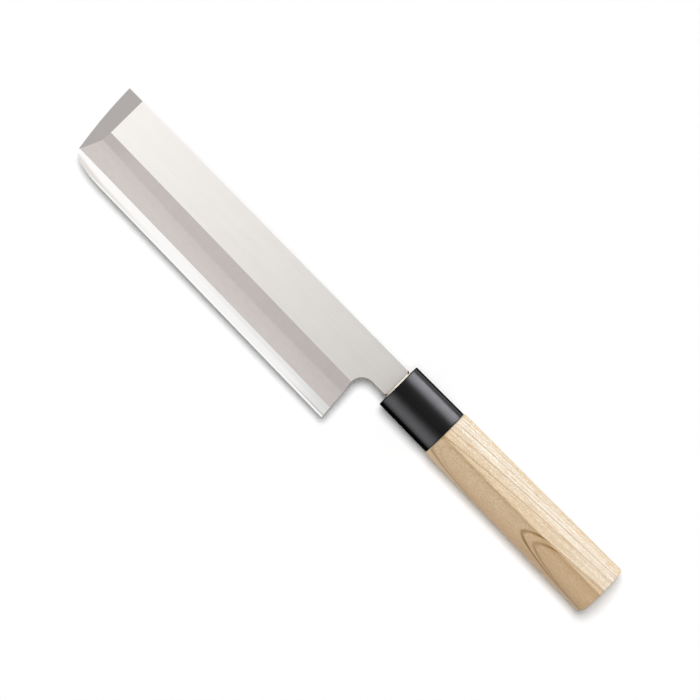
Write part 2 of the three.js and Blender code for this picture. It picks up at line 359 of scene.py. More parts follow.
@dataclass(frozen=True)
class SteelFinish:
    """A ground or polished steel face, whose colour grades from neck to tip as a painted light gradient."""

    name: str
    neck_tone: Colour
    tip_tone: Colour
    roughness: float
    grain: Grain
    streak: float = 0.05
    haze: float = 0.04
    bend: float = 0.8
    reach: float = 180.0
    contrast: float = 4.0
    line_pitch: float = 0.16
    line_depth: float = 0.002
    fine_share: float = 0.6
    broad_share: float = 0.8
    broad_lines: float = 8.0
    broad_deep: float = 0.3
    cloud: Figure = Figure((1 / 9, 1 / 9, 1 / 9), 3.0, 0.55)
    line_roughness: float = 0.12
    haze_roughness: float = 0.06

    def make(self, datum: Datum) -> Material:
        """Builds the material.

        Args:
            datum: Where the knife's axes are.

        Returns:
            The material.
        """
        shop = Workshop(self.name)
        x, y, z = shop.place(datum)
        fine = Figure(self.grain.cells(self.line_pitch), detail=3.0, rough=0.6).of(shop, x, y, z)
        run, rise, _ = self.grain.cells(self.broad_lines * self.line_pitch)
        broad = Figure((run, rise, self.broad_deep)).of(shop, x, y, z)
        cloud = self.cloud.of(shop, x, y, z)
        lines = fine * self.fine_share + broad * self.broad_share
        # Painted light: the colour grades from the neck's tone to the tip's tone along the blade.
        painted_light_toward_tip = (x / self.reach).clip().math("POWER", self.bend)
        share = (painted_light_toward_tip + (lines * self.streak + cloud * self.haze) * self.contrast).clip()
        clean = shop.blend(share, self.neck_tone, self.tip_tone)
        return shop.finish({
            "Base Color": self.marks_and_painted_light(shop, clean, x, y),
            "Metallic": 1.0,
            "Roughness": self.roughness + lines * self.line_roughness + cloud * self.haze_roughness,
            "Normal": shop.bump(fine, self.line_depth),
        })

    def marks_and_painted_light(self, shop: Workshop, clean: NodeSocket, x: Val, y: Val) -> NodeSocket:
        """Leaves the colour as it is. Other finishes add their marks and painted light here."""
        return clean


@dataclass(frozen=True)
class BandFinish(SteelFinish):
    """A band of the stone-ground bevel, brightened below a bowed line by a painted reflection and darker at
    the tip.
    """

    painted_reflection_tone: Colour = shade(226, 219, 215)
    dull_tone: Colour = shade(166, 161, 158)
    line_top: float = 20.2
    line_middle: float = 50.0
    line_bow: float = 0.000227
    below_line: Zone = Zone(-0.6, 0.6)
    line_step: float = 0.68
    drift: Zone = Zone(0.0, 6.5, 0.32)
    mottle: Figure = Figure((0.3, 0.45, 0.0), 3.0, 0.6)
    mottle_lift: float = 0.6
    mottle_dull: float = 0.12
    lift: float = 0.32
    forward_lift: Zone = Zone(15.0, 75.0, 0.1)
    tip: Zone = Zone(148.0, 170.0, 0.3)
    tip_clear: float = 0.8

    def marks_and_painted_light(self, shop: Workshop, clean: NodeSocket, x: Val, y: Val) -> NodeSocket:
        """Paints a reflection on the bevel, brighter below a bowed line towards the edge.

        Args:
            shop: The material's tree.
            clean: The steel's colour under the ridge line, with its painted light gradient from neck to
                tip.
            x: The place along the knife.
            y: The place across it.

        Returns:
            The colour.
        """
        along = x - self.line_middle
        depth = y - self.line_top + along * along * self.line_bow
        mottle = self.mottle.of(shop, x, y)
        # Painted reflection: the share that lifts the colour to the bright tone below the bowed line.
        below = self.below_line.of(depth)
        lift = below * self.line_step + self.drift.of(depth) + mottle * self.mottle_lift
        lift = lift * (self.lift + self.forward_lift.of(x))
        bright = shop.blend(lift.clip(), clean, self.painted_reflection_tone)
        tip = self.tip.of(x) * (1 - below * self.tip_clear)
        return shop.blend((tip - mottle * self.mottle_dull).clip(), bright, self.dull_tone)


@dataclass(frozen=True)
class StripFinish(SteelFinish):
    """The bright strip of hard steel, hazed along its top, dulled at the heel and darkened at the tip by a
    painted reflection.
    """

    haze_tone: Colour = shade(205, 209, 218)
    dull_tone: Colour = shade(206, 203, 200)
    score_tone: Colour = shade(170, 165, 160)
    tip_reflection_tone: Colour = shade(222, 215, 208)
    top: float = 29.45
    slope: float = 0.0147
    past_heel: Zone = Zone(14.0, 42.0)
    heel_dull: float = 0.5
    below_haze: Zone = Zone(1.0, 2.6)
    past_haze: Zone = Zone(60.0, 120.0)
    haze_share: float = 0.3
    score: Zone = Zone(3.4, 4.1, 0.4)
    tip_climb: Zone = Zone(155.0, 176.0, 1.6)
    tip_reach: Zone = Zone(110.0, 165.0)
    tip_reflection: Zone = Zone(3.2, 4.9, 0.75)

    def marks_and_painted_light(self, shop: Workshop, clean: NodeSocket, x: Val, y: Val) -> NodeSocket:
        """Marks the strip, and paints a reflection at the tip.

        Args:
            shop: The material's tree.
            clean: The steel's colour before these marks, with its painted light gradient from neck to tip.
            x: The place along the knife.
            y: The place across it.

        Returns:
            The colour.
        """
        depth = y + x * self.slope - self.top
        heel = 1 - self.past_heel.of(x)
        dull = shop.blend(heel * self.heel_dull, clean, self.dull_tone)
        haze = (1 - self.below_haze.of(depth)) * (1 - self.past_haze.of(x)) * self.haze_share
        hazed = shop.blend(haze, dull, self.haze_tone)
        scored = shop.blend(self.score.of(depth) * heel, hazed, self.score_tone)
        # Painted reflection: the lower part of the strip darkens and warms towards the tip.
        tip = self.tip_reflection.of(depth + self.tip_climb.of(x)) * self.tip_reach.of(x)
        return shop.blend(tip, scored, self.tip_reflection_tone)


@dataclass(frozen=True)
class GrowthLine:
    """The dark line that ends one year's growth, with how much of it is left on the edge side."""

    depth: float
    width: float = 0.3
    strength: float = 0.6
    low_share: float = 1.0


@dataclass(frozen=True)
class WoodFinish:
    """Plain sanded pale wood, with growth layers that run through the whole handle.

    A layer's depth counts up from the spine side to the core, which comes out on the edge side's flank.
    """

    name: str = "sanded_pale_wood"
    sap_tone: Colour = shade(242, 237, 224)
    heart_tone: Colour = shade(229, 211, 184)
    warm_tone: Colour = shade(222, 186, 142)
    deep_tone: Colour = shade(188, 158, 120)
    line_tone: Colour = shade(141, 104, 56)
    pore_tone: Colour = shade(172, 138, 102)
    fleck_tone: Colour = shade(212, 174, 102)
    raw_tone: Colour = shade(238, 230, 218)
    layer_turn: float = 59.1
    layer_tilt: float = -0.05238
    layer_bow: float = -0.00018
    layer_middle: float = -90.0
    wobble: Figure = Figure((0.03, 0.12, 0.12), share=0.25)
    loop_height: float = 6.6
    loop_reach: float = 5.0
    loop_middle: float = 1.5
    loop_kink: float = 0.02
    lines: tuple[GrowthLine, ...] = (
        GrowthLine(11.95, 0.12, 1.2, 0.6), GrowthLine(11.5, 0.11, 1.7), GrowthLine(7.75, 0.12, 0.25),
        GrowthLine(6.95, 0.4, 0.48, 1.5), GrowthLine(5.2, 0.25, 0.3), GrowthLine(3.6, 0.45),
        GrowthLine(1.7, 0.2, 0.4), GrowthLine(0.0), GrowthLine(-1.5, 0.25, 0.4), GrowthLine(-3.3),
        GrowthLine(-5.2, 0.25, 0.45), GrowthLine(-7.4), GrowthLine(-10.6), GrowthLine(-13.2),
        GrowthLine(-16.9),
    )
    line_low: Zone = Zone(5.0, 7.5)
    line_spread: tuple[Zone, Zone] = (Zone(6.5, 9.5), Zone(10.8, 11.2, 0.5))
    line_fade: Figure = Figure((0.05, 0.3, 0.5))
    line_kept: Zone = Zone(-0.25, 0.1)
    line_least: float = 0.7
    line_soft: Zone = Zone(2.0, 4.0, 0.35, (6.5, 9.0))
    hair: Figure = Figure((0.007, 0.8, 0.8), share=18.0)
    hair_share: float = 0.2
    sheets: Figure = Figure((0.012, 0.05, 2.6), 3.0, 0.6, 0.5)
    strands: Figure = Figure((0.012, 1.2, 1.2), 2.0, 0.6, 0.7)
    fibre: Figure = Figure((0.06, 3.2, 3.2), 3.0, 0.6)
    fibre_tone: float = 0.6
    speck: Figure = Figure((1.8, 3.6, 3.6), 1.0, share=2.4)
    cloud: Figure = Figure((0.03, 0.12, 0.12), share=0.3, shift=7.0)
    calm_low: Zone = Zone(1.2, 2.2, 0.5)
    tone: float = 0.4
    near_ridge: Zone = Zone(6.0, 9.0)
    # Painted shade: a darker band just below the ridge, on the edge side's flank.
    ridge_shade: tuple[Zone, Zone] = (Zone(0.9, 1.7, 0.25, (2.0, 5.0)), Zone(1.5, 1.9, 0.25, (2.1, 2.7)))
    core: Zone = Zone(11.3, 12.1, 0.2)
    shaded: tuple[Zone, Zone] = (Zone(9.0, 11.5), Zone(10.2, 11.2, 0.25))
    ageing: tuple[Zone, Zone] = (Zone(5.0, 5.9, 0.65), Zone(5.9, 11.1, 0.35))
    butt_young: Zone = Zone(80.0, 125.0, 0.45)
    past_ridge: Zone = Zone(0.5, 1.5)
    past_pale: Zone = Zone(6.3, 7.4)
    pale_low: Zone = Zone(5.0, 8.0)
    pale_lift: float = 0.65
    pale_cool: float = 0.2
    # Painted shade: how far the edge side's flank is warmed below the ridge.
    flank_shade_warmth: tuple[Zone, Zone] = (Zone(1.0, 1.8, 0.4), Zone(6.0, 12.0, 0.53))
    flecks: Figure = Figure((0.85, 1.9, 1.9), 1.0)
    fleck_cut: Zone = Zone(0.02, 0.12, 0.95)
    fleck_side: tuple[Zone, Zone] = (Zone(10.4, 11.6), Zone(-2.0, 2.5))
    pores: Figure = Figure((0.28, 5.5, 5.5), 1.0)
    pore_cut: Zone = Zone(0.16, 0.28)
    pore_share: float = 0.4
    raw_end: Zone = Zone(-0.3, 0.1)
    roughness: float = 0.52
    fibre_roughness: float = 0.2
    line_roughness: float = 0.06
    relief: tuple[float, float, float] = (0.7, 0.5, 0.25)
    relief_depth: float = 0.03

    def growth(self, shop: Workshop, at: tuple[Val, Val, Val], y: Val) -> Val:
        """Draws the growth lines.

        Args:
            shop: The material's tree.
            at: The place along the handle, along the layers and through them.
            y: The place across the knife.

        Returns:
            How dark the lines are, from 0 to 1.
        """
        layer = at[2]
        wide = 1 + self.line_spread[0].of(y) * self.line_spread[1].of(layer)
        low = self.line_low.of(y)
        dark: Val | float = 0.0
        for line in self.lines:
            gap = abs(layer - line.depth) / (line.width * wide)
            kept = 1 - low * (1 - line.low_share)
            dark = dark + (1 - gap).clip() * kept * line.strength
        kept = self.line_kept.of(self.line_fade.of(shop, *at))
        dark = dark * (self.line_least + (1 - self.line_least) * kept)
        return dark.clip() * (1 - self.line_soft.of(y))

    def make(self, datum: Datum) -> Material:
        """Builds the material.

        Args:
            datum: Where the knife's axes are.

        Returns:
            The material.
        """
        shop = Workshop(self.name)
        x, y, z = place = shop.place(datum)
        turn = math.radians(self.layer_turn)
        back = x - self.layer_middle
        level = y * math.cos(turn) + z * math.sin(turn) + self.wobble.of(shop, *place)
        off_loop = abs(y - self.loop_height).math("MINIMUM", self.loop_reach)
        kink = (self.loop_middle - off_loop) * self.loop_kink
        layer = level + back * self.layer_tilt + back * back * self.layer_bow + kink
        grain = (x, y * math.sin(turn) - z * math.cos(turn), layer)

        dark = self.growth(shop, grain, y)
        hairlines = (1 - abs(self.hair.of(shop, *grain))).clip()
        fibre = self.fibre.of(shop, *place)
        pores = self.pore_cut.of(self.pores.of(shop, *place))
        calm = 1 - self.calm_low.of(y)
        core = self.core.of(layer)
        pale = (1 - self.past_pale.of(layer)) * self.pale_low.of(y)
        # Painted shade just below the ridge.
        ridge_shade_share = (self.ridge_shade[0].of(y) + self.ridge_shade[1].of(y)) * self.near_ridge.of(z)
        figure = self.sheets.of(shop, *grain) + self.strands.of(shop, *grain) + fibre * self.fibre_tone
        tone = (self.tone + ridge_shade_share + core + figure * calm
                + self.speck.of(shop, *place) + self.cloud.of(shop, *place)).clip()
        tone = tone + self.shaded[0].of(y) * self.shaded[1].of(layer) - pale * self.pale_lift
        aged = self.ageing[0].of(level) + self.ageing[1].of(level)
        aged = aged * (1 - self.butt_young.of(-x) * (1 - self.past_ridge.of(y)))
        # Painted shade warms the edge side's flank; the core's share is the wood's own colour.
        core_and_flank_shade = (self.flank_shade_warmth[0].of(y) + self.flank_shade_warmth[1].of(y) + core) * (1 - pale * self.pale_cool)
        flecks = self.fleck_cut.of(self.flecks.of(shop, *place))
        flecks = flecks * self.fleck_side[0].of(-y) * self.fleck_side[1].of(z)

        colour = shop.blend(aged, self.sap_tone, self.heart_tone)
        for share, second in (
                (core_and_flank_shade, self.warm_tone), (tone.clip(), self.deep_tone), (flecks, self.fleck_tone),
                (pores * self.pore_share, self.pore_tone),
                ((dark + hairlines * calm * self.hair_share).clip(), self.line_tone),
                (self.raw_end.of(x), self.raw_tone)):
            colour = shop.blend(share, colour, second)
        raised, sunk, cut = self.relief
        return shop.finish({
            "Base Color": colour,
            "Roughness": self.roughness + fibre * self.fibre_roughness + dark * self.line_roughness,
            "Normal": shop.bump(fibre * raised - pores * sunk - dark * cut, self.relief_depth),
        })


@dataclass(frozen=True)
class SleeveFinish:
    """Glossy black moulded plastic, with the fine marks of handling."""

    name: str = "glossy_black_plastic"
    tone: Colour = (0.0012, 0.0012, 0.0013)
    dull_tone: Colour = (0.0035, 0.0035, 0.0038)
    roughness: float = 0.3
    cloud: Figure = Figure((0.22, 0.22, 0.22), 3.0, 0.55)
    rub: Figure = Figure((0.5, 7.0, 7.0), 2.0, 0.6)
    peel: Figure = Figure((1.3, 1.3, 1.3))
    cloud_roughness: float = 0.1
    rub_roughness: float = 0.12
    gloss_least: float = 0.42
    gloss: Zone = Zone(0.05, 0.22)
    gloss_level: float = 0.9
    cloud_gloss: float = 0.2
    edge_side: Zone = Zone(-3.0, 3.0)
    spine_rim: Zone = Zone(0.48, 0.66)
    edge_rim: Zone = Zone(0.315, 0.43)
    relief: tuple[float, float] = (0.8, 0.2)
    relief_depth: float = 0.012
    coat_roughness: float = 0.27
    coat_ior: float = 1.35

    def make(self, datum: Datum) -> Material:
        """Builds the material.

        Args:
            datum: Where the knife's axes are.

        Returns:
            The material.
        """
        shop = Workshop(self.name)
        place = shop.place(datum)
        cloud, rub, peel = (figure.of(shop, *place) for figure in (self.cloud, self.rub, self.peel))
        turned = shop.value("ShaderNodeLayerWeight", output="Facing")
        low = self.edge_side.of(place[1])
        rim = self.spine_rim.of(turned) * (1 - low) + self.edge_rim.of(turned) * low
        gloss = (self.gloss_least + (1 - self.gloss_least) * self.gloss.of(turned)) * (1 - rim)
        return shop.finish({
            "Base Color": shop.blend(cloud + NOISE_MIDDLE, self.tone, self.dull_tone),
            "Roughness": self.roughness + cloud * self.cloud_roughness + rub * self.rub_roughness,
            "Normal": shop.bump(peel * self.relief[0] + rub * self.relief[1], self.relief_depth),
            "Specular IOR Level": 0.0,
            "Coat Weight": gloss * (self.gloss_level + cloud * self.cloud_gloss),
            "Coat Roughness": self.coat_roughness,
            "Coat IOR": self.coat_ior,
        })


@dataclass(frozen=True)
class ResinFinish:
    """Brown bedding resin, a little uneven where it set."""

    name: str = "brown_bedding_resin"
    tone: Colour = shade(104, 62, 44)
    pale_tone: Colour = shade(140, 92, 66)
    lump: Figure = Figure((1.8, 1.8, 1.8), 3.0, 0.6)
    lump_depth: float = 0.08
    roughness: float = 0.38
    lump_roughness: float = 0.3

    def make(self, datum: Datum) -> Material:
        """Builds the material.

        Args:
            datum: Where the knife's axes are.

        Returns:
            The material.
        """
        shop = Workshop(self.name)
        lump = self.lump.of(shop, *shop.place(datum))
        return shop.finish({
            "Base Color": shop.blend(lump + NOISE_MIDDLE, self.tone, self.pale_tone),
            "Roughness": self.roughness + lump * self.lump_roughness,
            "Normal": shop.bump(lump, self.lump_depth),
        })


@dataclass(frozen=True)
class DSection:
    """The handle's section: an oval whose crowned flanks meet in a ridge."""

    height: float = 23.5
    back: float = 9.3
    ridge_proud: float = 1.7
    ridge_shift: float = 1.35
    ridge_ease: float = 0.4
    flank_open: float = 50.0
    rise_lean: float = 12.0
    fall_lean: float = 22.0
    around: int = 200

    def inputs(self) -> dict[str, float]:
        """Lists the sizes under the names of the loft's inputs.

        Returns:
            The value of each input.
        """
        return {
            "Half Height": self.height / 2,
            "Back": self.back,
            "Ridge Proud": self.ridge_proud,
            "Ridge Shift": self.ridge_shift,
            "Ridge Ease": self.ridge_ease,
            "Flank Open": math.radians(self.flank_open),
            "Rise Lean": math.radians(self.rise_lean),
            "Fall Lean": math.radians(self.fall_lean),
        }


Pair = tuple[Val, Val]


class SectionLoft(Bench):
    """Geometry Nodes that skin the D section along a row of stations.

    A station is a point of the guide mesh: its X is the place along the handle, its Y how far the
    section grows there, and its Z how far it is open, from 0 at a closed end to 1.
    """

    OVAL_END = 0.6
    RUN_ENDS = (OVAL_END, 0.78, 0.82, 1.0)
    WELD = 0.002
    CLOSE = 0.0005
    CREASE = 24.0
    ROW_NUDGE = 0.0005
    TURN_END = 0.9999

    def __init__(self, section: DSection) -> None:
        """Builds the tree.

        Args:
            section: The sizes of the section.
        """
        self.section = section
        super().__init__(bpy.data.node_groups.new("d_section_loft", "GeometryNodeTree"))
        face = self.tree.interface
        face.new_socket("Geometry", in_out="OUTPUT", socket_type="NodeSocketGeometry")
        kinds = {"Stations": "Object", "Around": "Int", "Finish": "Material"}
        for name in (*kinds, *section.inputs()):
            kind = kinds.get(name, "Float")
            face.new_socket(name, in_out="INPUT", socket_type=f"NodeSocket{kind}")
        self.given = self.node("NodeGroupInput").outputs
        self.lay_out()

    def size(self, name: str) -> Val:
        """Gives one of the named inputs."""
        return Val(self, self.given[name])

    def bow(self, start: Pair, pull: Pair, end: Pair, share: Val) -> Pair:
        """Follows a curve that is pulled towards a point.

        Args:
            start: Where the curve starts.
            pull: The point that pulls it.
            end: Where it ends.
            share: How far along it is.

        Returns:
            The point on the curve.
        """
        rest = 1 - share
        first, second, third = rest * rest, 2 * rest * share, share * share
        y = start[0] * first + pull[0] * second + end[0] * third
        z = start[1] * first + pull[1] * second + end[1] * third
        return y, z

    def flank(self, oval: Pair, ridge: Pair, turn: Val, lean: Val) -> tuple[Callable[[Val], Pair], Val]:
        """Draws one flank, from the oval to just short of the ridge.

        Args:
            oval: The oval's half height and depth.
            ridge: The ridge.
            turn: Where the flank leaves the oval.
            lean: The way that the flank falls from the ridge.

        Returns:
            The flank's point for a share of its length, and the share at which it stops.
        """
        high, deep = oval
        cos, sin = turn.math("COSINE"), turn.math("SINE")
        foot = (high * cos, deep * sin)
        along = (-(high * sin), deep * cos)
        down = (lean.math("COSINE"), lean.math("SINE"))
        gap = (foot[0] - ridge[0], foot[1] - ridge[1])
        reach = (gap[0] * along[1] - gap[1] * along[0]) / (down[0] * along[1] - down[1] * along[0])
        pull = (ridge[0] + down[0] * reach, ridge[1] + down[1] * reach)
        stop = 1 - self.size("Ridge Ease") / (2 * reach)
        return (lambda share: self.bow(foot, pull, ridge, share)), stop

    def outline(self, share: Val, grow: Val) -> Pair:
        """Walks once round the section, in four runs: the oval, one flank, the crest and the other flank.

        Args:
            share: How far round, from 0 to 1.
            grow: How far the section grows there.

        Returns:
            The point's Y and Z.
        """
        oval = (self.size("Half Height") + grow, self.size("Back") + grow)
        ridge = (self.size("Ridge Shift"), oval[1] + self.size("Ridge Proud"))
        aim = (ridge[1] / oval[1]).math("ARCTAN2", ridge[0] / oval[0])
        spread = self.size("Flank Open")
        fall, fall_stop = self.flank(oval, ridge, aim - spread, -self.size("Fall Lean"))
        rise, rise_stop = self.flank(oval, ridge, aim + spread, self.size("Rise Lean") + math.pi)

        turn = aim + spread + 2 * (math.pi - spread) * (share / self.OVAL_END).clip()
        spans = zip(self.RUN_ENDS, self.RUN_ENDS[1:])
        in_fall, in_crest, in_rise = (((share - low) / (high - low)).clip() for low, high in spans)
        runs = (
            (oval[0] * turn.math("COSINE"), oval[1] * turn.math("SINE")),
            fall(in_fall * fall_stop),
            self.bow(fall(fall_stop), ridge, rise(rise_stop), in_crest),
            rise((1 - in_rise) * rise_stop),
        )
        past = [share > end for end in self.RUN_ENDS[:-1]]
        masks = (1 - past[0], past[0] - past[1], past[1] - past[2], past[2])
        y, z = (sum(run[axis] * mask for run, mask in zip(runs, masks)) for axis in (0, 1))
        return y, z

    def lay_out(self) -> None:
        """Lays a sheet of points, wraps it on to the section and welds its seams."""
        guide = self.node("GeometryNodeObjectInfo", None, {"Object": self.given["Stations"]})
        stations = guide.outputs["Geometry"]
        count = self.node("GeometryNodeAttributeDomainSize", {"component": "MESH"}, {0: stations})
        around = self.size("Around")
        columns = around + 1
        sheet = self.node("GeometryNodeMeshGrid", None, {
            "Vertices X": count.outputs["Point Count"], "Vertices Y": columns})
        index = self.value("GeometryNodeInputIndex")
        row = (index / columns + self.ROW_NUDGE).math("FLOOR")
        column = index - row * columns
        share = column / around
        share = share - (share > self.TURN_END)
        found = self.node("GeometryNodeSampleIndex", {"data_type": "FLOAT_VECTOR", "domain": "POINT"}, {
            "Geometry": stations, "Value": self.node("GeometryNodeInputPosition").outputs[0], "Index": row})
        x, grow, wide = self.split(found.outputs[0])
        y, z = self.outline(share, grow)
        moved = self.node("GeometryNodeSetPosition", None, {
            "Geometry": sheet.outputs["Mesh"], "Position": self.point(x, y * wide, z * wide)})
        welded = self.node("GeometryNodeMergeByDistance", None, {
            "Geometry": moved.outputs[0], "Distance": self.WELD})
        real = self.node("GeometryNodeRealizeInstances", None, {"Geometry": welded.outputs[0]})
        dressed = self.node("GeometryNodeSetMaterial", None, {
            "Geometry": real.outputs[0], "Material": self.given["Finish"]})
        self.node("NodeGroupOutput", None, {"Geometry": dressed.outputs[0]})

    def skin(self, name: str, stations: Sequence[Station], finish: Material,
             cutter: Object | None = None) -> Mesh:
        """Skins a row of stations.

        Args:
            name: The mesh's name.
            stations: Place, growth and openness of each station.
            finish: The material.
            cutter: What is cut away afterwards, if anything is.

        Returns:
            The closed mesh, in millimetres.
        """
        guide_mesh = bpy.data.meshes.new(f"{name}_stations")
        guide_mesh.from_pydata([list(station) for station in stations], [], [])
        guide = put(f"{name}_stations", guide_mesh)
        holder = put(f"{name}_loft", bpy.data.meshes.new(f"{name}_loft"))
        nodes = holder.modifiers.new("loft", "NODES")
        nodes.node_group = self.tree
        values: dict[str, Any] = {"Stations": guide, "Around": self.section.around, "Finish": finish}
        values.update(self.section.inputs())
        for item in self.tree.interface.items_tree:
            if item.in_out == "INPUT":
                nodes[item.identifier] = values[item.name]
        if cutter:
            cut = holder.modifiers.new("slot", "BOOLEAN")
            cut.operation = "DIFFERENCE"
            cut.solver = "EXACT"
            cut.object = cutter
        graph = bpy.context.evaluated_depsgraph_get()
        mesh = bpy.data.meshes.new_from_object(holder.evaluated_get(graph))
        mesh.name = name
        for spare in (guide, holder):
            bpy.data.objects.remove(spare)
        return mesh

    def close(self, mesh: Mesh, datum: Datum) -> Mesh:
        """Welds a skin, points its faces outwards and puts it in place.

        Args:
            mesh: The skin, in millimetres in the knife's axes.
            datum: Where those axes are.

        Returns:
            The same mesh, in the frame.
        """
        work = bmesh.new()
        work.from_mesh(mesh)
        bmesh.ops.remove_doubles(work, verts=work.verts, dist=self.CLOSE)
        bmesh.ops.recalc_face_normals(work, faces=work.faces)
        return settle(work, mesh, datum, self.CREASE)


def put(name: str, data: ID) -> Object:
    """Adds an object to the scene at the origin.

    Args:
        name: The object's name.
        data: Its mesh, lamp or lens.

    Returns:
        The object.
    """
    thing = bpy.data.objects.new(name, data)
    bpy.context.scene.collection.objects.link(thing)
    return thing


def stand_in(name: str, mesh: Mesh, node: str) -> Object:
    """Makes a mesh the piece that is shown for a CAD node.

    Args:
        name: The piece's name.
        mesh: Its mesh, already in place.
        node: The CAD node.

    Returns:
        The piece.
    """
    piece = put(name, mesh)
    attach(piece, BODY)
    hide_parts(node)
    return piece


def copy_solid(solid: Object, datum: Datum) -> BMesh:
    """Copies a CAD solid, to be worked on.

    Args:
        solid: The solid.
        datum: Where the knife's axes are.

    Returns:
        The copy, in millimetres in the knife's axes.
    """
    work = bmesh.new()
    work.from_mesh(solid.data)
    work.transform(datum.matrix.inverted())
    bmesh.ops.remove_doubles(work, verts=work.verts, dist=MERGE)
    return work


def settle(work: BMesh, mesh: Mesh, datum: Datum, crease: float) -> Mesh:
    """Shades the faces smooth, with hard edges at creases and between finishes, and puts them in place.

    Args:
        work: The faces, in millimetres in the knife's axes.
        mesh: The mesh that takes them.
        datum: Where those axes are.
        crease: The angle in degrees past which an edge is hard.

    Returns:
        The mesh, in the frame.
    """
    for face in work.faces:
        face.smooth = True
    for edge in work.edges:
        faces = edge.link_faces
        hard = len(faces) != 2 or edge.calc_face_angle() > math.radians(crease)
        edge.smooth = not hard and faces[0].material_index == faces[1].material_index
    work.transform(datum.matrix)
    work.to_mesh(mesh)
    work.free()
    return mesh


class Facet(Enum):
    """The faces of the blade, each with a finish of its own, by its place on the mesh."""

    FLAT = 0
    UPPER_BAND = 1
    LOWER_BAND = 2
    END_BEVEL = 3
    STRIP = 4
    HONED = 5
    RIM = 6
    HOLLOW = 7
    SIDE = 8


FINISHES: dict[Facet, SteelFinish] = {
    Facet.FLAT: SteelFinish(
        "satin_flat", shade(201, 197, 192), shade(248, 245, 241), 0.3, Grain.ALONG, haze=0.03, bend=0.72),
    Facet.UPPER_BAND: BandFinish(
        "stone_ground_upper_band", shade(180, 173, 170), shade(200, 193, 189), 0.42, Grain.ACROSS,
        streak=0.13, haze=0.08, bend=0.5),
    Facet.LOWER_BAND: BandFinish(
        "stone_ground_lower_band", shade(180, 173, 170), shade(200, 193, 189), 0.4, Grain.ACROSS,
        streak=0.13, haze=0.08, bend=0.5),
    Facet.END_BEVEL: SteelFinish(
        "ground_end_bevel", shade(172, 167, 164), shade(180, 175, 173), 0.42, Grain.ALONG, haze=0.12),
    Facet.STRIP: StripFinish(
        "bright_strip", shade(232, 231, 228), shade(255, 253, 251), 0.16, Grain.ALONG,
        streak=0.09, haze=0.05, bend=0.5),
    Facet.HONED: SteelFinish(
        "honed_edge", shade(252, 252, 251), shade(243, 240, 237), 0.12, Grain.ALONG, bend=6.0),
    Facet.RIM: SteelFinish("polished_rim", shade(214, 213, 211), shade(232, 231, 229), 0.2, Grain.ALONG),
    Facet.HOLLOW: SteelFinish(
        "satin_hollow", shade(190, 188, 185), shade(205, 203, 200), 0.36, Grain.ALONG, haze=0.08),
    # The eased sides' darker tone is partly the ground spine's own colour and partly painted shade along
    # the eased edges of the choil and neck.
    Facet.SIDE: SteelFinish("eased_side", shade(150, 147, 144), shade(160, 157, 154), 0.4, Grain.ALONG),
}


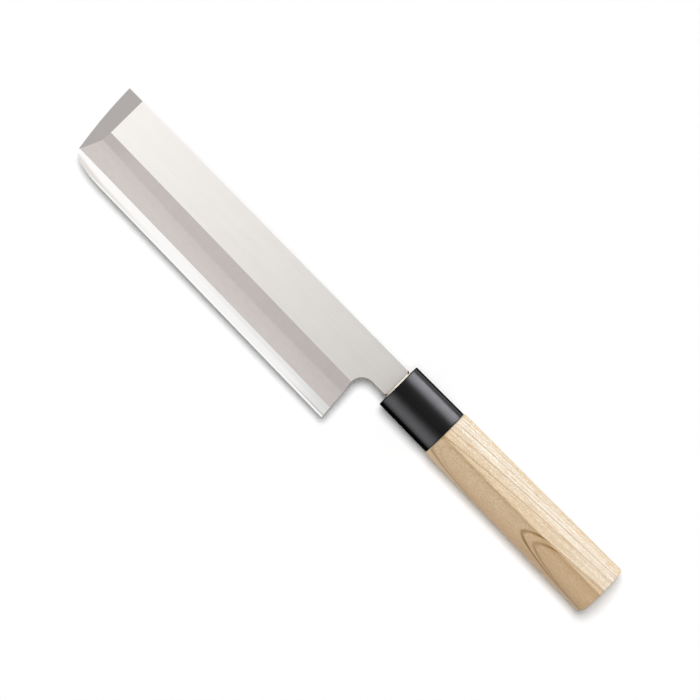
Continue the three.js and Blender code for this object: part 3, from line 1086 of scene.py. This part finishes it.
@dataclass
class Blade:
    """The clad blade and the hard steel of its back and edge.

    A facet is told by its normal: how far that faces out, runs along the knife or across it, or the
    degrees that it falls towards the edge.
    """

    datum: Datum
    nodes: Mapping[str, Object]
    thickness: float = 2.6
    strip_width: float = 5.8
    edge_ease: float = 0.35
    ease_steps: int = 3
    ease_profile: float = 0.5
    ease_angle: float = 60.0
    ease_level: float = 0.3
    ease_start: float = 1.5
    ease_stop: float = 171.0
    ease_clear: float = 6.0
    step_end: float = 10.0
    step_run: float = 0.05
    crease: float = 12.0
    flat_limit: float = 0.05
    back_facing: float = -0.9
    rim_facing: float = -0.99999
    side_facing: float = 0.6
    level_gap: float = 0.01
    end_lean: float = 0.15
    end_skew: float = 0.05
    flat_fall: float = 0.4
    falls: tuple[tuple[float, Facet], ...] = (
        (3.0, Facet.UPPER_BAND), (9.0, Facet.LOWER_BAND), (14.0, Facet.STRIP))
    fall_skew: float = 0.02
    steels: dict[Facet, Material] = field(default_factory=dict)

    def facet(self, face: BMFace) -> Facet:
        """Tells which face of the blade a polygon belongs to.

        Args:
            face: The polygon, in the knife's axes.

        Returns:
            The facet.
        """
        normal = face.normal
        half = self.thickness / 2
        if normal.z < self.back_facing:
            level = min(vert.co.z for vert in face.verts)
            flat = normal.z < self.rim_facing and abs(level + half) < self.level_gap
            return Facet.RIM if flat else Facet.HOLLOW
        if normal.z < self.side_facing:
            return Facet.SIDE
        if normal.x > self.end_lean and abs(normal.y) < self.end_skew:
            return Facet.END_BEVEL
        fall = math.degrees(math.atan2(normal.y, normal.z))
        if fall < self.flat_fall:
            return Facet.FLAT if face.calc_center_median().z > half - self.level_gap else Facet.SIDE
        for limit, facet in self.falls:
            if fall < limit and abs(normal.x) < self.fall_skew:
                return facet
        return Facet.HONED

    def eased(self, edge: BMEdge, limit: float) -> bool:
        """Tells whether an edge of the outline is eased.

        Args:
            edge: The edge, in the knife's axes.
            limit: The height past which the blade is too thin for it.

        Returns:
            Whether it is.
        """
        if len(edge.link_faces) != 2 or edge.calc_face_angle() < math.radians(self.ease_angle):
            return False
        ends = [vert.co for vert in edge.verts]
        level = [abs(abs(end.z) - self.thickness / 2) < self.ease_level for end in ends]
        clear = [self.ease_start < end.x < self.ease_stop and end.y < limit for end in ends]
        run = abs(ends[0].x - ends[1].x)
        neck_step = max(end.x for end in ends) < self.step_end and run < self.step_run
        return all(level) and all(clear) and not neck_step

    def build(self, node: str, name: str) -> Object:
        """Builds one of the two steels from its solid.

        Args:
            node: The CAD node.
            name: The piece's name.

        Returns:
            The piece.
        """
        work = copy_solid(self.nodes[node], self.datum)
        angle = math.radians(self.flat_limit)
        bmesh.ops.dissolve_limit(work, angle_limit=angle, verts=work.verts, edges=work.edges)
        work.normal_update()
        limit = max(vert.co.y for vert in work.verts) - self.strip_width - self.ease_clear
        for face in work.faces:
            face.material_index = self.facet(face).value
        rim = [edge for edge in work.edges if self.eased(edge, limit)]
        bmesh.ops.bevel(work, geom=rim, offset=self.edge_ease, segments=self.ease_steps,
                        profile=self.ease_profile, affect="EDGES", clamp_overlap=False,
                        material=Facet.SIDE.value)
        bmesh.ops.triangulate(work, faces=work.faces)
        bmesh.ops.dissolve_degenerate(work, dist=MERGE, edges=work.edges)
        mesh = settle(work, bpy.data.meshes.new(name), self.datum, self.crease)
        self.dress(mesh)
        return stand_in(name, mesh, node)

    def dress(self, mesh: Mesh) -> None:
        """Gives each facet its steel.

        Args:
            mesh: The piece's mesh.
        """
        for facet in Facet:
            if facet not in self.steels:
                self.steels[facet] = FINISHES[facet].make(self.datum)
            mesh.materials.append(self.steels[facet])


def quarter(steps: int) -> list[tuple[float, float]]:
    """Gives the cosine and the sine at the start of a quarter turn and after each of its steps."""
    turns = [math.pi / 2 * step / steps for step in range(steps + 1)]
    return [(math.cos(turn), math.sin(turn)) for turn in turns]


@dataclass
class TangSlot:
    """The tapered tang and the slot that it is bedded in."""

    length: float = 96.0
    root: float = 9.6
    end: float = 5.0
    thickness: float = 2.6
    front: float = 0.9

    def bar(self, name: str, grow: float, front: float, back: float) -> Object:
        """Makes a tapered bar along the handle.

        Args:
            name: Its name.
            grow: How far it stands off the tang all round.
            front: Where it starts.
            back: Where it ends.

        Returns:
            The bar, in millimetres.
        """
        taper = (self.root - self.end) / 2 / (self.length + self.front)
        deep = self.thickness / 2 + grow
        points: list[tuple[float, float, float]] = []
        for x in (back, front):
            high = self.end / 2 + taper * (x + self.length) + grow
            points += [(x, -high, -deep), (x, high, -deep), (x, high, deep), (x, -high, deep)]
        sides = [(i, (i + 1) % 4, 4 + (i + 1) % 4, 4 + i) for i in range(4)]
        mesh = bpy.data.meshes.new(name)
        mesh.from_pydata(points, [], [*sides, (3, 2, 1, 0), (4, 5, 6, 7)])
        return put(name, mesh)


@dataclass
class Ferrule:
    """The plastic sleeve on the handle's tenon."""

    datum: Datum
    loft: SectionLoft
    length: float = 29.9
    wall: float = 4.4
    flare: float = 0.25
    ease: float = 0.35
    ease_steps: int = 4
    body_steps: int = 8
    finish: SleeveFinish = SleeveFinish()

    def stations(self) -> list[Station]:
        """Goes round the sleeve's wall, from the rear of the outside to the rear of the bore.

        Returns:
            The stations, the last of which closes on the first.
        """
        eased = [(self.ease * (1 - sin), self.ease * (1 - cos)) for cos, sin in quarter(self.ease_steps)]
        rear = [(back - self.length, self.flare - low, 1.0) for back, low in reversed(eased)]
        shares = [1 - step / self.body_steps for step in range(1, self.body_steps)]
        body = [(-self.length * share, self.flare * share, 1.0) for share in shares]
        front = [(-back, -low, 1.0) for back, low in eased]
        bore = [(0.0, -self.wall, 1.0), (-self.length, -self.wall, 1.0)]
        return [*rear, *body, *front, *bore, rear[0]]

    def build(self) -> Object:
        """Builds and dresses the sleeve."""
        mesh = self.loft.skin("ferrule_sleeve", self.stations(), self.finish.make(self.datum))
        return stand_in("ferrule_sleeve", self.loft.close(mesh, self.datum), "ferrule")


@dataclass
class Grip:
    """The wood handle, with the tenon that the ferrule sits on and the slot for the tang."""

    datum: Datum
    loft: SectionLoft
    slot: TangSlot
    length: float = 130.0
    shoulder: float = 30.0
    tenon_proud: float = 0.8
    tenon_shrink: float = 4.5
    tenon_ease: float = 0.35
    tenon_rings: tuple[float, ...] = (0.0, 0.5, 1.0)
    shoulder_grow: float = 0.9
    chamfer: float = 0.6
    body_steps: int = 20
    butt_grow: float = 1.75
    butt_round: float = 0.6
    round_steps: int = 8
    butt_rings: tuple[float, ...] = (0.7, 0.35, 0.0)
    corner_height: float = 4.0
    corner_ease: tuple[float, float] = (0.5, 2.0)
    slot_gap: float = 0.65
    slot_past: float = 5.0
    finish: WoodFinish = WoodFinish()

    def stations(self) -> list[Station]:
        """Goes along the wood from the end of the tenon to the butt.

        Returns:
            The stations.
        """
        tip = -self.tenon_shrink - self.tenon_ease
        rows = [(self.tenon_proud, tip, wide) for wide in self.tenon_rings]
        rows.append((self.tenon_proud - self.tenon_ease, -self.tenon_shrink, 1.0))
        rows.append((-self.shoulder, -self.tenon_shrink, 1.0))
        rows.append((-self.shoulder, self.shoulder_grow - self.chamfer, 1.0))
        start = -self.shoulder - self.chamfer
        stop = -self.length + self.butt_round
        for step in range(self.body_steps):
            share = step / self.body_steps
            grow = self.shoulder_grow + (self.butt_grow - self.shoulder_grow) * share
            rows.append((start + (stop - start) * share, grow, 1.0))
        end = self.butt_grow - self.butt_round
        for cos, sin in quarter(self.round_steps):
            rows.append((stop - self.butt_round * sin, end + self.butt_round * cos, 1.0))
        return rows + [(-self.length, end, wide) for wide in self.butt_rings]

    def ease_corners(self, mesh: Mesh) -> None:
        """Rounds the butt's two corners, as seen from the front.

        Args:
            mesh: The handle's mesh, in the knife's axes.
        """
        reach = 2 * max(self.corner_ease)
        half = self.loft.section.height / 2 + self.butt_grow
        for vert in mesh.vertices:
            near = min(max((reach - self.length - vert.co.x) / reach, 0.0), 1.0)
            out = min(max((abs(vert.co.y) - half) / self.corner_height + 1, 0.0), 1.0)
            ease = self.corner_ease[vert.co.y > 0]
            vert.co.x += near * ease * (1 - math.sqrt(1 - out * out))

    def build(self) -> Object:
        """Builds and dresses the handle.

        Returns:
            The piece.
        """
        back = -self.slot.length - self.slot_gap
        cutter = self.slot.bar("slot_cutter", self.slot_gap, self.tenon_proud + self.slot_past, back)
        mesh = self.loft.skin("wood_grip", self.stations(), self.finish.make(self.datum), cutter)
        bpy.data.objects.remove(cutter)
        self.ease_corners(mesh)
        return stand_in("wood_grip", self.loft.close(mesh, self.datum), "handle")


@dataclass(frozen=True)
class Bead:
    """A lump of resin that was squeezed out and set."""

    place: tuple[float, float, float]
    size: tuple[float, float, float]
    turn: float = 0.0
    swell: float = 0.16
    waves_across: float = 2.0
    waves_up: float = 3.0

    def form(self, ball: Vector) -> Vector:
        """Forms the lump from a ball.

        Args:
            ball: A point of a ball with a radius of 1.

        Returns:
            The point of the lump, in the knife's axes.
        """
        wave = math.sin(self.waves_up * ball.z + self.waves_across * ball.y + self.place[1])
        lump = Vector(a * b * (1 + self.swell * wave) for a, b in zip(ball, self.size))
        return Vector(self.place) + Matrix.Rotation(math.radians(self.turn), 3, "Z") @ lump


@dataclass
class Bedding:
    """The resin round the tang, with what was squeezed out at the neck."""

    datum: Datum
    nodes: Mapping[str, Object]
    beads: tuple[Bead, ...] = (
        Bead((1.0, -7.4, 0.35), (0.75, 0.42, 1.35), -45.0),
        Bead((0.74, 6.5, 1.5), (0.9, 0.42, 1.0), 45.0),
        Bead((0.92, -0.4, 1.25), (0.07, 6.6, 0.07)),
    )
    bead_detail: int = 3
    crease: float = 40.0
    finish: ResinFinish = ResinFinish()

    def build(self) -> Object:
        """Builds and dresses the resin.

        Returns:
            The piece.
        """
        work = copy_solid(self.nodes["tang_resin"], self.datum)
        for bead in self.beads:
            made = bmesh.ops.create_icosphere(work, subdivisions=self.bead_detail, radius=1.0)
            for vert in made["verts"]:
                vert.co = bead.form(vert.co)
        mesh = settle(work, bpy.data.meshes.new("tang_bedding"), self.datum, self.crease)
        mesh.materials.append(self.finish.make(self.datum))
        return stand_in("tang_bedding", mesh, "tang_resin")


@dataclass
class Studio:
    """A white floor under soft light, seen from straight above.

    The picture, the aim and the level are millimetres in the knife's axes. The floor and the boxes
    are in metres in the frame.
    """

    datum: Datum
    aim: tuple[float, float] = (26.57, 4.18)
    picture: float = 314.4
    turn: float = 225.45
    lens: float = 200.0
    sensor: float = 36.0
    blade_level: float = 1.3
    floor_size: float = 6.0
    floor_tone: Colour = (0.95, 0.95, 0.95)
    sky: float = 0.09
    horizon: float = 0.72
    dome: Zone = Zone(0.0, 0.5)
    bank_side: tuple[float, float] = (0.7, -0.714)
    key_strength: float = 2.7
    key_lean: float = 14.8
    key_spread: float = 25.0
    fill_strength: float = 0.42
    fill_lean: float = -7.5
    fill_spread: float = 19.0
    box_size: tuple[float, float] = (0.5, 0.7)
    box_along: float = -0.05
    box_away: float = 1.05
    box_up: float = 0.32
    sleeve_boxes: tuple[float, float] = (15.2, 4.6)
    sleeve_light: Colour = (0.94, 0.935, 1.0)
    grip_boxes: tuple[float, float] = (5.1, 1.3)
    grip_light: Colour = WHITE

    def camera(self) -> None:
        """Sets the camera over the knife."""
        lens = bpy.data.cameras.new("camera")
        lens.lens = self.lens
        lens.sensor_width = self.sensor
        camera = put("camera", lens)
        away = self.picture * self.lens / self.sensor
        camera.location = self.datum.matrix @ Vector((*self.aim, self.blade_level + away))
        camera.rotation_euler.z = math.radians(self.turn)
        bpy.context.scene.camera = camera

    def hang(self, light: Light, place: Vector, piece: Object | None = None) -> Object:
        """Hangs a light that points at the middle of the frame.

        Args:
            light: The light.
            place: Where it hangs.
            piece: The one thing that it lights, if it is flagged off everything else.

        Returns:
            The hung light.
        """
        lamp = put(light.name, light)
        lamp.location = place
        lamp.rotation_euler = place.to_track_quat("Z", "Y").to_euler()
        if piece:
            lit = bpy.data.collections.new(f"{light.name}_lights")
            lit.objects.link(piece)
            lamp.light_linking.receiver_collection = lit
        return lamp

    def side_light(self, piece: Object, powers: tuple[float, float], colour: Colour) -> None:
        """Hangs a soft box on each side of a piece of the handle, flagged off everything else.

        Args:
            piece: The piece that they light.
            powers: The watts of the box on the spine's side and of the one on the edge's side.
            colour: The colour of their light.
        """
        for side, power in zip((-1, 1), powers):
            light = bpy.data.lights.new(f"{piece.name}_box", "AREA")
            light.shape = "RECTANGLE"
            light.size, light.size_y = self.box_size
            light.energy = power
            light.color = colour
            box = self.hang(light, Vector((self.box_along, self.box_away * side, self.box_up)), piece)
            box.visible_camera = False

    def bank(self, name: str, strength: float, lean: float, spread: float,
             piece: Object | None = None) -> None:
        """Hangs a large soft bank of lamps overhead, which metal doesn't mirror.

        Args:
            name: Its name.
            strength: Its strength.
            lean: How far it leans over the tip and the spine, in degrees.
            spread: How wide it looks from the floor, in degrees.
            piece: The one thing that it lights, if it is flagged off everything else.
        """
        light = bpy.data.lights.new(name, "SUN")
        light.energy = strength
        light.angle = math.radians(spread)
        reach = math.tan(math.radians(lean))
        along, across = self.bank_side
        bank = self.hang(light, Vector((along * reach, across * reach, 1)), piece)
        bank.visible_glossy = False

    def surroundings(self) -> None:
        """Makes the white surroundings, which metal mirrors and which add little light."""
        world = bpy.data.worlds.new("white_surroundings")
        world.use_nodes = True
        bpy.context.scene.world = world
        bench = Bench(world.node_tree)
        bench.tree.nodes.clear()
        rays = bench.node("ShaderNodeLightPath").outputs
        kinds = ("Is Camera Ray", "Is Glossy Ray", "Is Transmission Ray")
        seen, mirrored, passed = (Val(bench, rays[kind]) for kind in kinds)
        aim = bench.split(bench.node("ShaderNodeTexCoord").outputs["Generated"])
        dome = self.horizon + (1 - self.horizon) * self.dome.of(aim[2])
        level = seen + (1 - seen) * (self.sky + (dome - self.sky) * (mirrored + passed).clip())
        sky = bench.node("ShaderNodeBackground", None, {"Color": WHITE, "Strength": level})
        bench.node("ShaderNodeOutputWorld", None, {"Surface": sky.outputs[0]})

    def floor(self) -> None:
        """Lays the floor at the level that the handle lies on, with a fill light of its own."""
        half = self.floor_size / 2
        mesh = bpy.data.meshes.new("floor")
        points = [(-half, -half, 0), (half, -half, 0), (half, half, 0), (-half, half, 0)]
        mesh.from_pydata(points, [], [(0, 1, 2, 3)])
        shop = Workshop("white_floor")
        matt = shop.node("ShaderNodeBsdfDiffuse", None, {"Color": self.floor_tone})
        shop.feed(shop.output.inputs["Surface"], matt.outputs[0])
        mesh.materials.append(shop.material)
        floor = put("floor", mesh)
        self.bank("floor_fill", self.fill_strength, self.fill_lean, self.fill_spread, floor)

    def build(self) -> None:
        """Sets up the camera, the lights and the floor."""
        self.camera()
        self.bank("key", self.key_strength, self.key_lean, self.key_spread)
        self.surroundings()
        self.floor()
        bpy.context.scene.view_settings.view_transform = "Standard"


def main() -> None:
    """Loads the frame, builds each piece round it and logs each piece's face count."""
    logging.basicConfig(level=logging.INFO, format="%(name)s: %(message)s")
    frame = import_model()
    datum = Datum.from_frame()
    studio = Studio(datum)
    studio.build()

    nodes = frame["nodes"]
    blade = Blade(datum, nodes)
    loft = SectionLoft(DSection())
    sleeve = Ferrule(datum, loft).build()
    grip = Grip(datum, loft, TangSlot()).build()
    studio.side_light(sleeve, studio.sleeve_boxes, studio.sleeve_light)
    studio.side_light(grip, studio.grip_boxes, studio.grip_light)
    pieces = {
        blade.build("blade_body", "clad_blade"): "cladding_steel",
        blade.build("edge_steel", "edge_layer"): "hard_steel",
        Bedding(datum, nodes).build(): "resin",
        sleeve: "ferrule_plastic",
        grip: "handle_wood",
    }
    for piece, slot in pieces.items():
        log.info("%s: %d faces", piece.name, len(piece.data.polygons))


if __name__ == "__main__":
    main()
